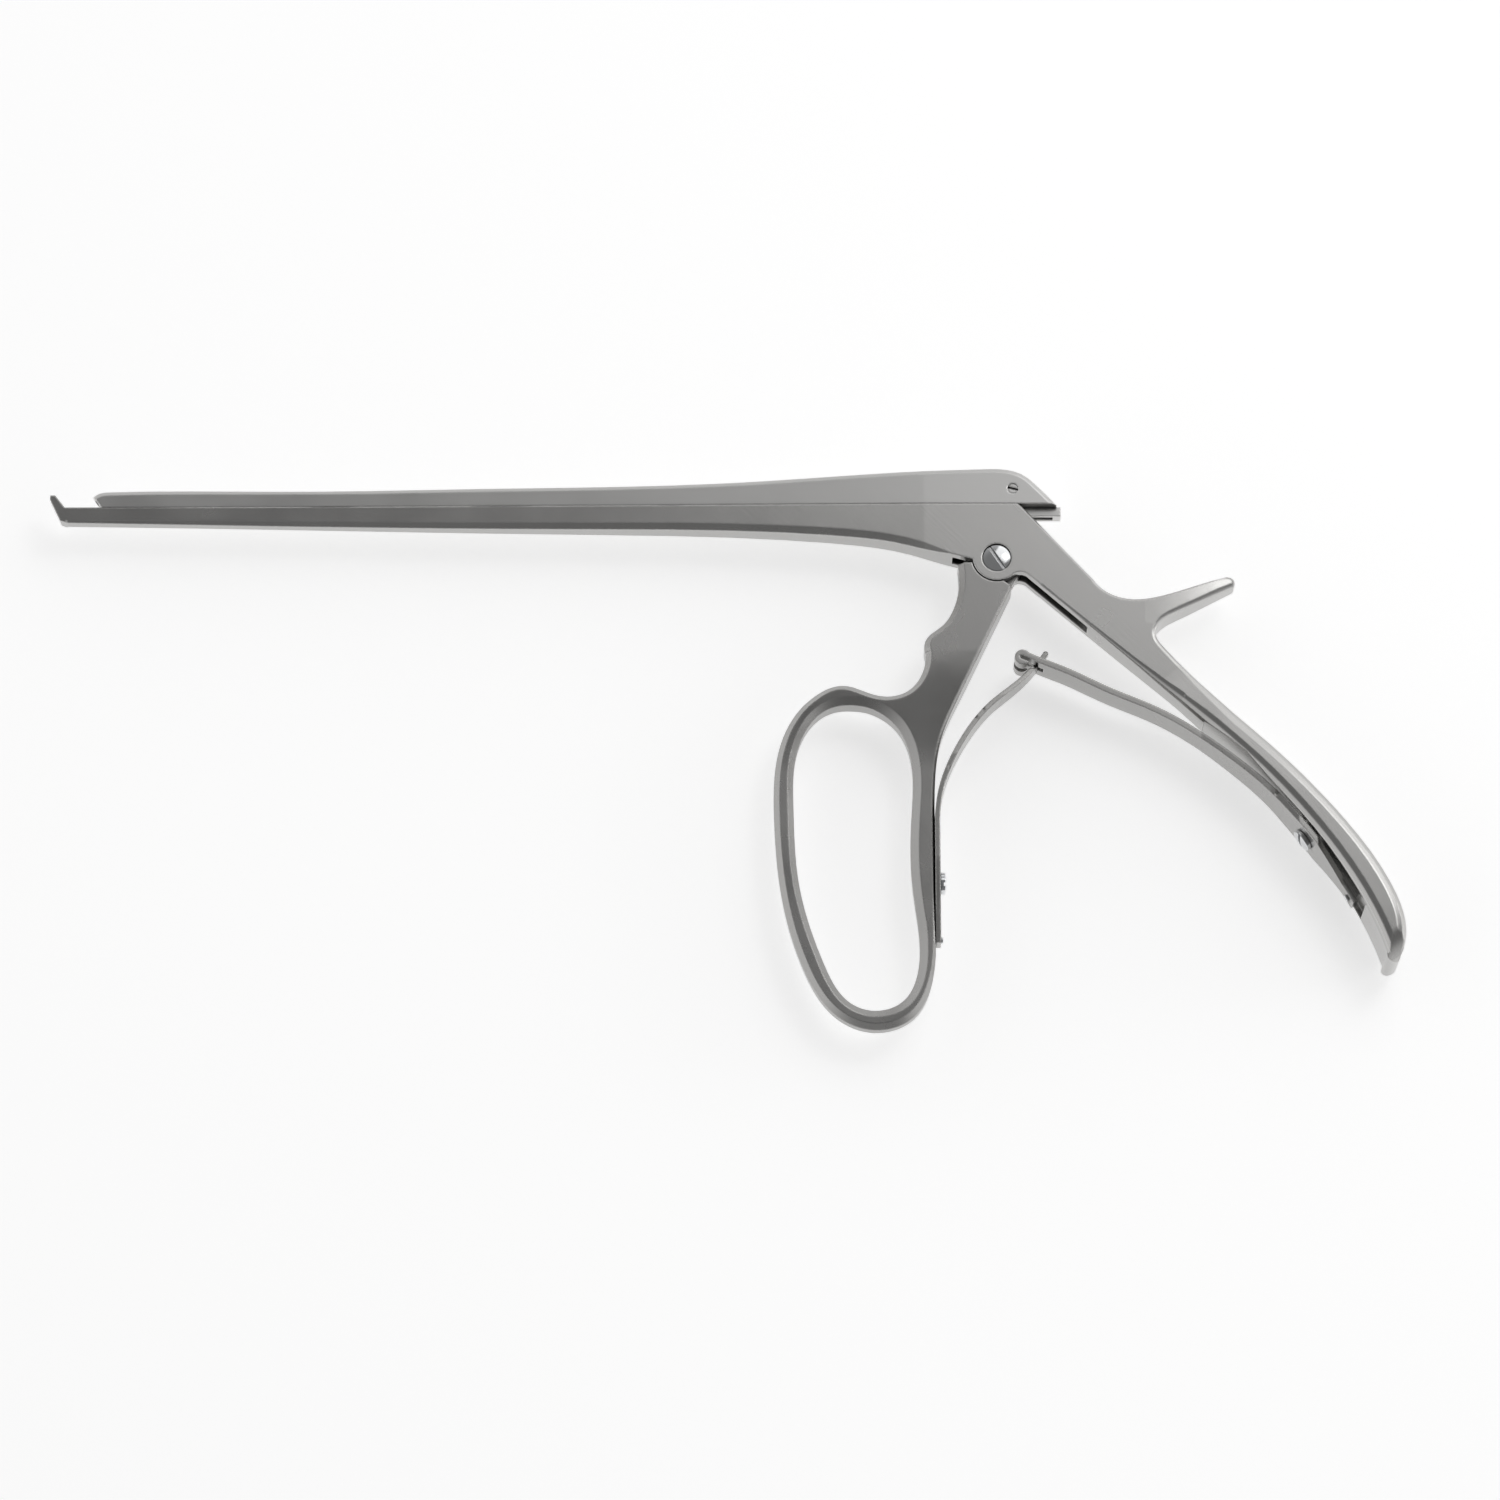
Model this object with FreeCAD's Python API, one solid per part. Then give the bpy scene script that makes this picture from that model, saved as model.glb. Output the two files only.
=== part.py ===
import FreeCAD, Part
import math
import os

# Bone rongeur lying on its side. Millimetres and degrees.
# X runs from the biting tip to the rear handle, Y points away from the handles, Z is the thickness.
# The origin is where the pivot axis meets the lower side face of the hinge.

# Hinge block and its slot
hinge_thickness = 8.6
slot_width = 4.1
boss_radius = 5.4
boss_rear_fillet = 2.5
slot_top = 8.1
slot_front = 9.9
slot_run_out = 20.2

# Long shaft of the frame: distances run from the pivot axis, heights from the sliding deck
deck_height = 12.9
deck_rear = 5.3
shaft_reach = 213.5
# Stations of the shaft: share of its reach, width, depth below the deck, and lower bevel
shaft_stations = (
    (0.982, 3.5, 3.6, 0.55),
    (0.838, 3.8, 4.1, 0.85),
    (0.651, 4.5, 4.8, 1.05),
    (0.459, 5.7, 5.3, 1.2),
    (0.281, 7.0, 5.85, 1.3),
    (0.206, 7.6, 6.6, 1.35),
    (0.143, 8.1, 7.7, 1.4),
    (0.104, 8.4, 9.0, 1.35),
    (0.076, 8.6, 10.6, 1.2),
)
belly_front = 9.9
belly_depth = 12.1

# Biting end
bite_angle = 38.0
bite_gap = 8.3
closed_gap = 0.05
footplate_height = 2.9
footplate_thickness = 1.9
footplate_top = 1.1
cup_radius = 1.0
cup_depth = 2.2
cup_height = 1.5
footplate_cup_depth = 0.35

# Slider: heights above the deck
slider_clearance = 0.05
# Share of the reach and height above the deck along the slider's top
slider_heights = (
    (0.937, 4.1),
    (0.745, 4.15),
    (0.556, 4.6),
    (0.27, 5.8),
    (0.143, 7.5),
    (0.074, 8.3),
    (0.012, 8.75),
)
# Distance behind the pivot and height above the deck along the slider's rounded rear end
slider_crown = (
    (3.0, 8.5),
    (6.6, 7.1),
    (9.3, 4.75),
    (11.6, 2.4),
)
slider_end = 13.7
slider_crest = 2.8
slider_edge_round = 1.25

# Sliding rails under the slider and their grooves in the deck
rail_clearance = 0.06
rail_head_width = 3.4
rail_head_height = 1.6
rail_neck_width = 2.4
rail_neck_height = 0.5
rail_front = 46.0
rail_rear = 14.7
small_rail_width = 2.1
small_rail_neck = 1.3
small_rail_height = 0.7
small_rail_neck_height = 0.4
small_rail_behind_tip = 27.5
small_rail_length = 18.0

# Drive between the trigger's fork and the slider
drive_height = 16.55
drive_lead = 3.81
drive_pin_radius = 1.2
fork_thickness = 1.4
fork_half_width = 2.6
fork_reach = 1.5
fork_clearance = 0.1

# Trigger
tongue_clearance = 0.15
hub_radius = 6.0
cheek_gap = 0.3
loop_thickness = 5.2
trigger_back = -14.5
bevel_width = 1.3
inner_bevel_width = 1.9
bevel_depth = 1.5
rear_chamfer = 0.55
thick_from = -22.0
thin_from = -50.0

# Pivot screw
pivot_radius = 2.0
pivot_thread_radius = 1.5
pivot_head_radius = 3.15
pivot_head_height = 1.1
pivot_recess_gap = 0.15
pivot_clearance = 0.03
driver_slot = 0.75

# Rear handle and thumb spur
handle_width = 16.2
spur_thickness = 5.4
spur_thins_from = 33.0
spur_end = 53.5
handle_flare = 8.0
neck_edge = 0.4
spur_top_edge = 0.5
# Rounding of the rear handle's edges: distance along the handle and radius
handle_back_rounds = ((-5.0, 0.8), (8.0, 1.0), (25.0, 2.2))
handle_front_rounds = ((-20.0, 0.4), (0.0, 0.9), (22.0, 2.3))
groove_width = 12.4
groove_start = 0.1
groove_end = 0.843
rear_leaf_seat = 0.397
rear_leaf_end = 0.81
rear_leaf_end_width = 4.2
groove_depth = 1.5
land_radius = 4.2

# Leaf springs
front_leaf_thickness = 1.15
rear_leaf_thickness = 1.4
leaf_seat = 0.03
stem_width = 1.4
front_leaf_end = -89.4
eye_slot_end = 10.2
stem_ball_radius = 0.65
eye_slot_width = 2.2
eye_gap = 0.8
spring_screw_radius = 2.5
spring_screw_height = 1.4
spring_screw_shank = 1.5
spring_screw_depth = 3.0
spring_pin_radius = 0.7
spring_pin_proud = 0.5
spring_pin_depth = 1.6
front_screw_station = -75.2
front_pin_station = -88.3
rear_screw_station = 0.56
rear_pin_station = 0.782

# Longest step between the sections of a cutter
section_gap = 6.0

# Worked out from the values above
mid = hinge_thickness / 2
wide = handle_width + 4.0
X = FreeCAD.Vector(1, 0, 0)
Z = FreeCAD.Vector(0, 0, 1)
lean = math.tan(math.radians(bite_angle))
handle_stations = (
    (handle_flare, mid),
    (handle_flare + 6.0, mid + 0.35),
    (23.0, 5.6),
    (36.0, 7.05),
    (52.0, handle_width / 2 - 0.4),
    (84.5, handle_width / 2),
)
bite_normal = FreeCAD.Vector(math.cos(math.radians(bite_angle)), math.sin(math.radians(bite_angle)), 0)
footplate_root = -shaft_reach + footplate_top + footplate_height * lean
travel = bite_gap - closed_gap
drive_arm = math.hypot(drive_lead, drive_height)
slider_front = footplate_root + bite_gap
small_rail_start = small_rail_behind_tip - shaft_reach
shaft_table = tuple((-share * shaft_reach, width / 2, depth, bevel)
                    for share, width, depth, bevel in shaft_stations)
rail_sizes = (rail_head_width, rail_neck_width, rail_neck_height, rail_head_height)
small_rail_sizes = (small_rail_width, small_rail_neck, small_rail_neck_height, small_rail_height)
small_rail_floor = deck_height - small_rail_neck_height - small_rail_height - rail_clearance
pivot_bearing_end = mid - slot_width / 2
rear_fasteners = (
    (rear_screw_station, spring_screw_shank, spring_screw_depth),
    (rear_pin_station, spring_pin_radius, spring_pin_depth),
)
front_fasteners = (
    (front_screw_station, spring_screw_shank, spring_screw_depth),
    (front_pin_station, spring_pin_radius, spring_pin_depth),
)


def at(x, y, z=mid):
    return FreeCAD.Vector(x, y, z)


handle_start = at(30.0, -24.0)
handle_direction = (at(88.0, -96.0) - handle_start).normalize()


def curve(points, start=None, end=None):
    """Smooth edge through the points, with its end directions where they are given."""
    spline = Part.BSplineCurve()
    if start and end:
        spline.interpolate(Points=points, InitialTangent=start, FinalTangent=end)
    else:
        spline.interpolate(Points=points)
    return spline


def edges_of(start, *runs):
    """Edges of an outline: a run is one point for a line, two for an arc, and a longer list for a curve."""
    edges, here = [], start
    for run in runs:
        if len(run) == 1:
            edges.append(Part.makeLine(here, run[0]))
        elif len(run) == 2:
            edges.append(Part.Arc(here, run[0], run[1]).toShape())
        else:
            edges.append(curve([here] + list(run)).toShape())
        here = run[-1]
    return edges


def slab(edges, thickness, direction=Z):
    """A closed outline drawn in the middle, made a solid of the given thickness."""
    face = Part.Face(Part.Wire(edges))
    face.translate(direction * (-thickness / 2))
    return face.extrude(direction * thickness)


def disc(x, y, radius, thickness, centre=mid):
    return Part.makeCylinder(radius, thickness, at(x, y, centre - thickness / 2), Z)


def block(x0, x1, y0, y1, width):
    return Part.makeBox(x1 - x0, y1 - y0, width, at(x0, y0, mid - width / 2))


def upright_edge(shape, x, y):
    """The edge along Z that stands nearest to x, y."""
    best, found = 1e9, None
    for edge in shape.Edges:
        a, b = edge.Vertexes[0].Point, edge.Vertexes[-1].Point
        gap = math.hypot(a.x - x, a.y - y) + math.hypot(b.x - x, b.y - y)
        if abs(a.z - b.z) > 1.0 and gap < best:
            best, found = gap, edge
    return found


def round_corner(shape, x, y, radius):
    return shape.makeFillet(radius, [upright_edge(shape, x, y)])


def shaft_plan():
    """Space that the shaft and the slider fill: it narrows from the hinge to the tip."""
    tip = shaft_table[0][1] - 0.1
    stations = [(-shaft_reach - 6.0, tip)] + [(x, half) for x, half, depth, bevel in shaft_table]
    near = [at(x, -60.0, mid + half) for x, half in stations]
    far = [at(x, -60.0, mid - half) for x, half in reversed(stations)]
    end_near, end_far = at(120.0, -60.0, mid + mid), at(120.0, -60.0, 0.0)
    edges = edges_of(near[0], near[1:], [end_near], [end_far], [far[0]], far[1:], [near[0]])
    return Part.Face(Part.Wire(edges)).extrude(FreeCAD.Vector(0, 120.0, 0))


def deck_groove(x0, x1, head_width, neck_width, neck_height, height, gap):
    """T-shaped bar along X that hangs below the deck, grown by the gap on each side."""
    neck = block(x0, x1, deck_height - neck_height - gap, deck_height + 1.0, neck_width + 2 * gap)
    top = deck_height - neck_height + gap
    head = block(x0, x1, top - height - 2 * gap, top, head_width + 2 * gap)
    return neck.fuse(head)


def handle_front_line():
    """Underside of the rear handle, from the ears to the end of the paddle."""
    return [at(40.2, -33.6), at(54.5, -47.6), at(69.2, -64.6), at(81.2, -84.3), at(84.4, -92.6)]


def frame_profile():
    """Side outline of the forging, without the boss round the pivot."""
    root = footplate_root
    top = deck_height + footplate_height
    toe = root - footplate_thickness
    spur_top, back = spur_line(), handle_back_line()
    belly = [at(x, deck_height - depth) for x, half, depth, bevel in shaft_table]
    belly.append(at(-belly_front, deck_height - belly_depth))
    return edges_of(
        at(-shaft_reach, top),
        [at(-shaft_reach + footplate_top, top)],
        [at(root, deck_height)],
        [at(deck_rear, deck_height)],
        [spur_top[0]],
        spur_top[1:],
        [at(53.3, -4.8), back[0]],
        back[1:],
        [at(86.3, -94.8), at(84.4, -92.6)],
        list(reversed(handle_front_line()))[1:],
        [at(2.5, -0.1)],
        [at(-4.0, -0.7)],
        [belly[-1]],
        list(reversed(belly))[1:],
        [at(toe + 0.9, belly[0].y + 0.5)],
        [at(-shaft_reach - 0.1, top - 0.9)],
        [at(-shaft_reach, top)],
    )


def spur_line():
    """Upper side of the thumb spur, from the slope behind the hinge."""
    return [at(21.8, -5.4), at(25.6, -8.6), at(31.0, -9.8), at(37.0, -8.9), at(44.3, -6.5), at(51.6, -4.1)]


def handle_back_line():
    """Lower side of the thumb spur, the crotch and the outside of the rear handle to the paddle's end."""
    return [at(53.2, -6.4), at(47.35, -9.25), at(41.5, -12.1), at(37.3, -14.4), at(35.6, -16.6),
            at(35.5, -18.4), at(37.2, -21.2), at(41.3, -25.7), at(62.6, -46.8), at(76.6, -62.6),
            at(85.9, -77.0), at(88.8, -87.0), at(87.4, -93.4)]


def handle_distance(point):
    """Distance along the rear handle from its start in the neck."""
    return (point - handle_start).dot(handle_direction)


def on_handle(distance, height):
    """Point at a distance along the rear handle and a height above the middle plane."""
    return handle_start + handle_direction * distance + Z * height


def handle_across():
    """Direction across the rear handle, towards the thumb spur."""
    return FreeCAD.Vector(-handle_direction.y, handle_direction.x, 0)


def through_handle(edges):
    """Solid that runs through the rear handle, from an outline on the plane along it."""
    face = Part.Face(Part.Wire(edges)).translated(handle_across() * -60)
    return face.extrude(handle_across() * 120)


def handle_flank(side):
    """Smooth line along one side of the rear handle as it widens from the neck to the paddle."""
    points = [on_handle(distance, side * half) for distance, half in handle_stations]
    points.append(on_handle(112.0, side * handle_width / 2))
    return curve(points, handle_direction, handle_direction)


def handle_plan():
    """Space that the rear handle fills from where it starts to widen."""
    near, far = handle_flank(1).toShape(), handle_flank(-1).toShape()
    ends = [Part.makeLine(near.Vertexes[i].Point, far.Vertexes[i].Point) for i in (0, 1)]
    return through_handle(Part.__sortEdges__([near, far] + ends))


def behind_flare():
    """Everything past the place where the rear handle starts to widen."""
    corners = [on_handle(s, z) for s, z in ((handle_flare, -30), (150, -30), (150, 30), (handle_flare, 30))]
    return through_handle(Part.makePolygon(corners + corners[:1]).Edges)


def paddle_end():
    """Waste round the rounded end of the rear handle."""
    half = handle_width / 2
    bow, end = 89.5, 91.5
    start, high, flat = 84.5, half - 2.05, half - 7.0
    edges = edges_of(
        on_handle(start, half),
        [on_handle(bow, high), on_handle(end, flat)],
        [on_handle(end, -flat)],
        [on_handle(bow, -high), on_handle(start, -half)],
        [on_handle(start, -20)],
        [on_handle(130, -20)],
        [on_handle(130, 20)],
        [on_handle(start, 20)],
        [on_handle(start, half)],
    )
    return through_handle(edges)


def between(table, x):
    """Value at x on the broken line through a table of x and value."""
    for (x0, v0), (x1, v1) in zip(table, table[1:]):
        if x <= x1:
            return v0 + (v1 - v0) * max(x - x0, 0.0) / (x1 - x0)
    return table[-1][1]


def tangent_at(path, point):
    """Direction of a smooth line at one of its points."""
    return FreeCAD.Vector(*path.tangent(path.parameter(point))[0])


def flat_bevel(width, depth):
    """Corner taken off by one flat: offsets across and up from the sharp edge."""
    return ((0.0, -depth), (-width, 0.0))


def soft_edge(radius):
    """Corner taken off by two flats that follow a rounding of this radius."""
    return ((0.0, -radius), (-0.293 * radius, -0.293 * radius), (-radius, 0.0))


def round_edge(radius):
    """Corner taken off by three flats that follow a rounding of this radius."""
    near, far = -0.134 * radius, -0.5 * radius
    return ((0.0, -radius), (near, far), (far, near), (-radius, 0.0))


def stops_along(path):
    """Places for sections along a smooth line: its own points, and enough between them to stay close to it."""
    knots = path.getKnots()
    reach = path.length() / (knots[-1] - knots[0])
    stops = [knots[0]]
    for a, b in zip(knots, knots[1:]):
        parts = max(2, math.ceil((b - a) * reach / section_gap))
        stops += [a + (b - a) * (i + 1) / parts for i in range(parts)]
    return stops


def edge_cutters(points, half, corner, closed=False):
    """Wedges that take the corner off both sides of a plate, along a line with the metal on its right."""
    path = curve(points + points[:1] if closed else points)
    stops = stops_along(path)
    spread = 0.0 if closed else 0.4
    steps = len(stops) - 1
    cutters = []
    for side in (1, -1):
        wires = []
        for i, stop in enumerate(stops):
            point = path.value(stop)
            tangent = tangent_at(path, point)
            out = FreeCAD.Vector(-tangent.y, tangent.x, 0)
            shift = spread * ((i == steps) - (i == 0))
            cuts = corner(point)
            down = stretch(cuts[1], cuts[0])
            up = stretch(cuts[-2], cuts[-1])
            ring = [down] + list(cuts[1:-1]) + [up, (0.9, 0.9)]
            base, top = point + tangent * shift, half(point)
            spots = [base + out * across + Z * (side * (top + rise)) for across, rise in ring]
            wires.append(Part.makePolygon(spots + [spots[0]]))
        cutters += lofts(wires, stops)
    return cutters


def lofts(wires, stops):
    """Solids through the wires, broken where their spacing changes a lot, so that none of them bulges."""
    solids, start, last = [], 0, len(wires) - 1
    for i in range(1, last + 1):
        uneven = i < last and not 0.4 < (stops[i + 1] - stops[i]) / (stops[i] - stops[i - 1]) < 2.5
        if i == last or uneven or i - start == 6:
            solids.append(Part.makeLoft(wires[start:i + 1], True, False))
            start = i
    return solids


def stretch(a, b, by=0.4):
    """Point on the line from a through b, a little past b."""
    length = math.hypot(b[0] - a[0], b[1] - a[1])
    return (b[0] + (b[0] - a[0]) * by / length, b[1] + (b[1] - a[1]) * by / length)


def cut_all(body, cutters):
    """The body with every cutter taken away."""
    for cutter in cutters:
        body = body.cut(cutter)
    return body


def sampled(path, count):
    """Distances and half widths at even steps along one side of the rear handle."""
    first, last = path.FirstParameter, path.LastParameter
    points = [path.value(first + (last - first) * i / count) for i in range(count + 1)]
    return [(handle_distance(point), point.z - mid) for point in points]


handle_table = sampled(handle_flank(1), 40)


def frame_half(point):
    """Half thickness of the frame behind the hinge: the spur thins towards its tip and the handle widens."""
    if point.y > -15.5:
        return spur_half(point.x)
    return between(handle_table, handle_distance(point))


def back_corner(point):
    return round_edge(between(handle_back_rounds, handle_distance(point)))


def front_corner(point):
    return round_edge(between(handle_front_rounds, handle_distance(point)))


def frame_edge_cutters():
    """Wedges that break the frame's edges behind the hinge, round the spur and along the handle."""
    spur_top, back = spur_line(), handle_back_line()
    front = list(reversed(handle_front_line()))
    runs = (
        ([at(deck_rear, deck_height), spur_top[0]], lambda point: flat_bevel(neck_edge, neck_edge)),
        (spur_top, lambda point: soft_edge(spur_top_edge)),
        ([spur_top[-1], at(53.3, -4.8), back[0]], lambda point: soft_edge(spur_top_edge)),
        (back, back_corner),
        (front, front_corner),
        ([front[-1], at(10.0, -6.8)], front_corner),
    )
    return [cutter for line, corner in runs for cutter in edge_cutters(line, frame_half, corner)]


def bevel_cutters(side):
    """Wedges that run along a lower edge of the shaft, take its bevel off and run out at the hinge."""
    wires = []
    for x, out, depth, bevel in shaft_table + ((-belly_front, mid, belly_depth, 0.05),):
        low = deck_height - depth
        corners = ((low + bevel + 0.6, out + 0.6), (low - 0.6, out - bevel - 0.6), (low - 3.0, out + 3.0))
        points = [at(x, y, mid + side * z) for y, z in corners]
        wires.append(Part.makePolygon(points + [points[0]]))
    return [Part.makeLoft(wires[:-1], True, False), Part.makeLoft(wires[-2:], True, True)]


def trigger_slot():
    """Slot between the ears, with its run-out under the neck."""
    low = -40.0
    run = at(slot_run_out, -15.3)
    edges = edges_of(
        at(-slot_front, low),
        [at(-slot_front, slot_top)],
        [at(8.5, slot_top)],
        [at(14.9, -3.2), run],
        [at(run.x, low)],
        [at(-slot_front, low)],
    )
    return slab(edges, slot_width)


def strip(points, thickness, width, count=10):
    """Band of the given thickness on the right of the smooth line that runs through the points."""
    path = curve(points)
    first, last = path.FirstParameter, path.LastParameter
    near = [path.value(first + (last - first) * i / count) for i in range(count + 1)]
    far = []
    for point in near:
        tangent = tangent_at(path, point)
        far.append(point + FreeCAD.Vector(tangent.y, -tangent.x, 0) * thickness)
    edges = [path.toShape()] + edges_of(near[-1], [far[-1]], list(reversed(far))[1:], [near[0]])
    return slab(edges, width)


def handle_point(share):
    """Point of the handle's underside at a share of its length, and the direction out of the metal."""
    path = curve(handle_front_line())
    first, last = path.FirstParameter, path.LastParameter
    point = path.value(first + (last - first) * share)
    tangent = tangent_at(path, point)
    return point, FreeCAD.Vector(tangent.y, -tangent.x, 0)


def spring_groove():
    """Channel under the rear handle that leaves the spring room, with a seat for its screw and pin."""
    above = []
    for step in range(6):
        point, out = handle_point(groove_start + (groove_end - groove_start) * step / 5)
        above.append(point - out * groove_depth * min(1.0, 0.1 + 0.6 * step))
    channel = strip(above, groove_depth + 6.0, groove_width)
    screw, out = handle_point(rear_screw_station)
    pin, other = handle_point(rear_pin_station)
    land = Part.makeCylinder(land_radius, 12.0, screw - out * 12.0, out)
    along = (pin - screw).normalize()
    bar = Part.makeBox(12.0, (pin - screw).Length + 1.2, rear_leaf_end_width)
    bar.translate(FreeCAD.Vector(-12.0, 0, -rear_leaf_end_width / 2))
    turn = FreeCAD.Rotation(FreeCAD.Vector(0, 1, 0), along)
    bar.Placement = FreeCAD.Placement(screw, turn).multiply(bar.Placement)
    return channel.cut(land).cut(bar)


def spur_half(x):
    """Half thickness of the thumb spur: it thins towards its tip along a parabola."""
    share = min(max((x - spur_thins_from) / (spur_end - spur_thins_from), 0.0), 1.0)
    return mid + (spur_thickness / 2 - mid) * share * share


def spur_wedge(side):
    """Wedge taken off one side of the thumb spur, so that it thins towards its tip."""
    line = [at(x, -15.5, mid + side * spur_half(x)) for x in (spur_thins_from, 38.0, 43.0, 48.0, spur_end)]
    above = [at(x, -15.5, mid + side * (mid + 3.0)) for x in (60.0, spur_thins_from)]
    slope = 2 * (spur_thickness / 2 - mid) / (spur_end - spur_thins_from)
    edge = curve(line, X, FreeCAD.Vector(1, 0, side * slope))
    edges = [edge.toShape()]
    edges += edges_of(line[-1], [at(60.0, -15.5, line[-1].z)], [above[0]], [above[1]], [line[0]])
    return Part.Face(Part.Wire(edges)).extrude(FreeCAD.Vector(0, 20.0, 0))


def peg(base, out, depth, radius, height=0.0):
    """Round rod from below the surface point base to the given height above it."""
    return Part.makeCylinder(radius, depth + height, base - out * depth, out)


def make_frame():
    """Shaft with the footplate, hinge ears, neck, thumb spur and rear handle, forged in one."""
    blank = slab(frame_profile(), wide)
    body = blank.common(shaft_plan()).fuse(disc(0, 0, boss_radius, hinge_thickness)).removeSplitter()
    body = round_corner(body, 4.9, -2.2, boss_rear_fillet)
    body = body.cut(spur_wedge(1)).cut(spur_wedge(-1)).cut(behind_flare())
    body = body.fuse(blank.common(handle_plan())).removeSplitter()
    body = cut_all(body, frame_edge_cutters()).cut(paddle_end())
    body = cut_all(body, bevel_cutters(1) + bevel_cutters(-1))
    body = body.cut(trigger_slot()).cut(spring_groove())
    body = body.cut(block(-6.4, 6.1, slot_top - 1.0, deck_height, fork_thickness + 0.4))
    body = body.cut(deck_groove(-rail_front - travel - 1.0, 60.0, *rail_sizes, rail_clearance))
    small_end = small_rail_start + small_rail_length
    small_front = small_rail_start - travel - 0.6
    body = body.cut(deck_groove(small_front, small_end + 0.6, *small_rail_sizes, rail_clearance))
    entry = small_rail_sizes[0] + 2 * rail_clearance
    body = body.cut(block(small_end, small_end + small_rail_length + 3.0, small_rail_floor, 20.0, entry))
    body = body.cut(disc(0, 0, pivot_radius + pivot_clearance, 40.0, mid + 20.0))
    body = body.cut(disc(0, 0, pivot_thread_radius + pivot_clearance, 40.0))
    recess = pivot_head_radius + pivot_recess_gap
    body = body.cut(disc(0, 0, recess, 10.0, hinge_thickness - pivot_head_height + 5.0))
    face_x = footplate_root - cup_height * lean
    body = body.cut(cup(face_x, deck_height + cup_height, bite_normal, footplate_cup_depth))
    for station, radius, depth in rear_fasteners:
        point, out = handle_point(station)
        body = body.cut(peg(point, out, depth + 0.2, radius + pivot_clearance, 1.0))
    return body


def slider_top_line():
    """Top of the slider from the crest behind the cutting face, over the drive pin, to its rear corner."""
    crest = at(slider_front - (slider_crest - slider_clearance) * lean, deck_height + slider_crest)
    tops = [at(-share * shaft_reach, deck_height + height) for share, height in slider_heights]
    crown = [at(x, deck_height + height) for x, height in slider_crown]
    corner = at(slider_end, deck_height + slider_clearance)
    return [crest, at(crest.x + 1.3, crest.y + 0.9)] + tops + crown + [corner]


def slider_profile():
    """Side outline of the sliding upper shaft."""
    toe, top = at(slider_front, deck_height + slider_clearance), slider_top_line()
    return edges_of(toe, [top[0]], top[1:], [toe])


def fork_pocket():
    """Pocket inside the slider where the fork tilts round the drive pin."""
    low, high = deck_height - 5.0, drive_height + 2.4
    edges = edges_of(
        at(drive_lead - 5.0, low),
        [at(drive_lead - 5.0, deck_height)],
        [at(drive_lead - 3.2, high)],
        [at(drive_lead + 2.9, high)],
        [at(drive_lead + 4.6, deck_height)],
        [at(drive_lead + 4.6, low)],
        [at(drive_lead - 5.0, low)],
    )
    return slab(edges, fork_thickness + 0.4)


def shaft_half(point):
    return between([(x, half) for x, half, depth, bevel in shaft_table] + [(-12.0, mid)], point.x)


def cup(x, y, out, depth):
    """Hollow of a cutting face: a bore with a round bottom."""
    centre = at(x, y) - out * (depth - cup_radius)
    return Part.makeSphere(cup_radius, centre).fuse(Part.makeCylinder(cup_radius, 4.0, centre, out))


def make_slider():
    """Upper shaft that slides on the deck and carries the cutting edge."""
    body = slab(slider_profile(), wide).common(shaft_plan())
    top = slider_top_line()
    body = cut_all(body, edge_cutters(top, shaft_half, lambda point: soft_edge(slider_edge_round)))
    body = body.fuse(deck_groove(-rail_front, rail_rear, *rail_sizes, 0.0).common(slider_side()))
    small_end = small_rail_start + small_rail_length
    body = body.fuse(deck_groove(small_rail_start, small_end, *small_rail_sizes, 0.0).common(slider_side()))
    body = body.removeSplitter().cut(fork_pocket())
    body = body.cut(block(0.0, rail_rear - 1.8, deck_height - 4.0, deck_height, fork_thickness + 0.4))
    body = body.cut(disc(drive_lead, drive_height, drive_pin_radius + 0.02, 40.0))
    face_x = footplate_root + bite_gap - cup_height * lean
    body = body.cut(cup(face_x, deck_height + cup_height, -bite_normal, cup_depth))
    return body


def slider_side():
    """Everything that may belong to the slider: the deck groove stands a little above the deck."""
    return block(-250.0, 60.0, 0.0, deck_height + slider_clearance + 0.2, 30.0)


def make_drive_pin():
    """Plain cross pin with a fine slot in its end."""
    pin = disc(drive_lead, drive_height, drive_pin_radius, hinge_thickness - 0.3)
    return pin.cut(driver_cut(at(drive_lead, drive_height, hinge_thickness - 0.15), Z, -15.0, 0.5, 0.5))


def driver_cut(top, out, angle, width, depth):
    """Screwdriver slot across a head: top is the middle of the head's crown."""
    bar = Part.makeBox(20.0, width, depth + 5.0, FreeCAD.Vector(-10.0, -width / 2, -depth))
    bar.rotate(FreeCAD.Vector(0, 0, 0), Z, angle)
    bar.Placement = FreeCAD.Placement(top, FreeCAD.Rotation(Z, out)).multiply(bar.Placement)
    return bar


def domed_head(base, out, radius, height, dome):
    """Round head with a low dome on top."""
    rim, crown = FreeCAD.Vector(radius, 0, height), FreeCAD.Vector(0, 0, height + dome)
    big = (radius * radius + dome * dome) / (2 * dome)
    half = radius / 2
    bow = FreeCAD.Vector(half, 0, height + dome - big + math.sqrt(big * big - half * half))
    foot, heart = FreeCAD.Vector(radius, 0, 0), FreeCAD.Vector(0, 0, 0)
    edges = edges_of(heart, [foot], [rim], [bow, crown], [heart])
    head = Part.Face(Part.Wire(edges)).revolve(heart, Z, 360)
    head.Placement = FreeCAD.Placement(base, FreeCAD.Rotation(Z, out))
    return head


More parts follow.
